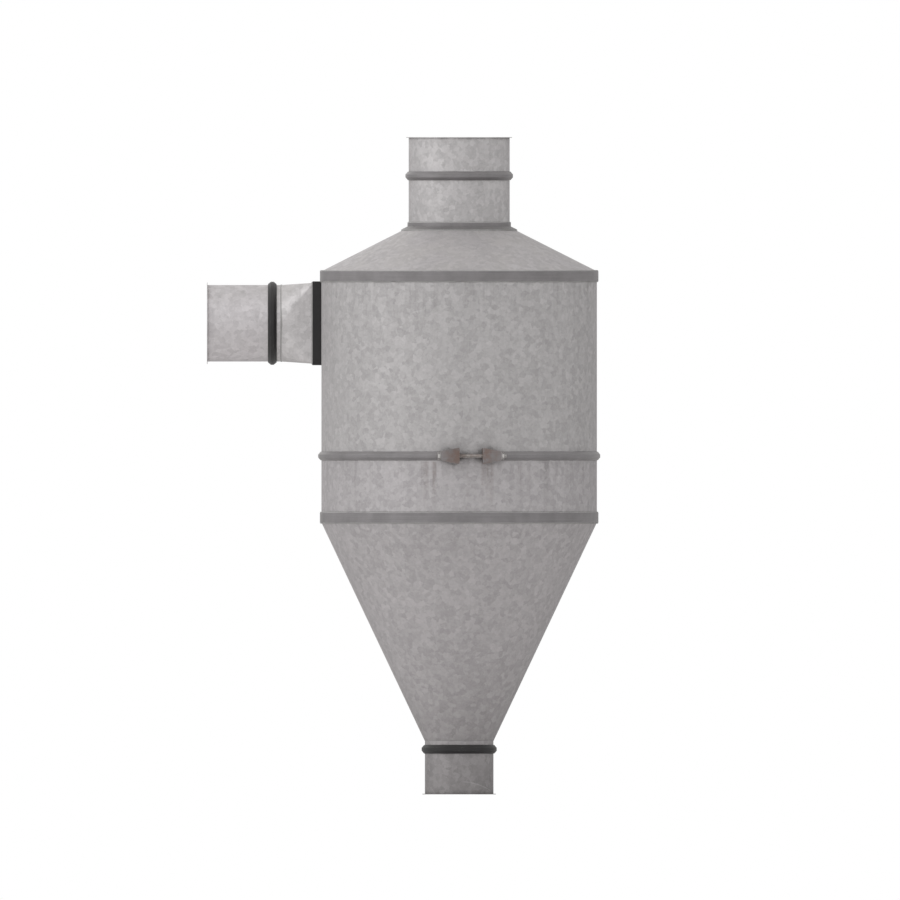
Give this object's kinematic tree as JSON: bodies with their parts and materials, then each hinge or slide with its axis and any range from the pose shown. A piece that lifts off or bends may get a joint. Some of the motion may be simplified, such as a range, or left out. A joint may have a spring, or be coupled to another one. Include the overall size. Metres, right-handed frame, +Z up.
{
  "type": "cyclone separator",
  "caption": "Upright sheet steel cyclone dust separator: round barrel with a tangential inlet, a conical roof with a vortex outlet tube, and a cone down to a dust spigot, joined by clamp rings.",
  "frame": {"origin": "centre of the dust spigot's lower rim, in the plane of the rim", "axes": "+Z up along the barrel's axis, -X out of the inlet, +Y towards the rear, where the tangential inlet lies"},
  "size_m": [1.2847, 0.984, 2.147],
  "materials": {
    "galvanised_sheet": "galvanised, satin grey",
    "hoop_steel": "galvanised after rolling, dull",
    "clamp_zinc": "zinc plated, satin",
    "dark_coat": "black powder coat",
    "bolt_zinc": "bright zinc",
    "seal_rubber": "black, matt"
  },
  "bodies": {
    "root": {"outlet_spigot": "galvanised_sheet", "outlet_seal": "seal_rubber", "outlet_clamp_ring": "clamp_zinc", "outlet_clamp_bolt": "bolt_zinc", "vortex_tube": "galvanised_sheet", "roof_cone": "galvanised_sheet", "roof_collar": "hoop_steel", "roof_hoop": "hoop_steel", "upper_barrel": "galvanised_sheet", "body_seal": "seal_rubber", "body_clamp_ring": "clamp_zinc", "body_clamp_bolt": "bolt_zinc", "lower_barrel": "galvanised_sheet", "cone_hoop": "hoop_steel", "cone": "galvanised_sheet", "dust_seal": "seal_rubber", "dust_clamp_ring": "dark_coat", "dust_clamp_bolt": "bolt_zinc", "dust_spigot": "galvanised_sheet", "inlet_top_plate": "galvanised_sheet", "inlet_bottom_plate": "galvanised_sheet", "inlet_inner_plate": "galvanised_sheet", "inlet_outer_plate": "galvanised_sheet", "inlet_hoop": "dark_coat", "inlet_transition": "galvanised_sheet", "inlet_seal": "seal_rubber", "inlet_clamp_ring": "dark_coat", "inlet_clamp_bolt": "bolt_zinc", "inlet_spigot": "galvanised_sheet"}
  },
  "joints": []
}
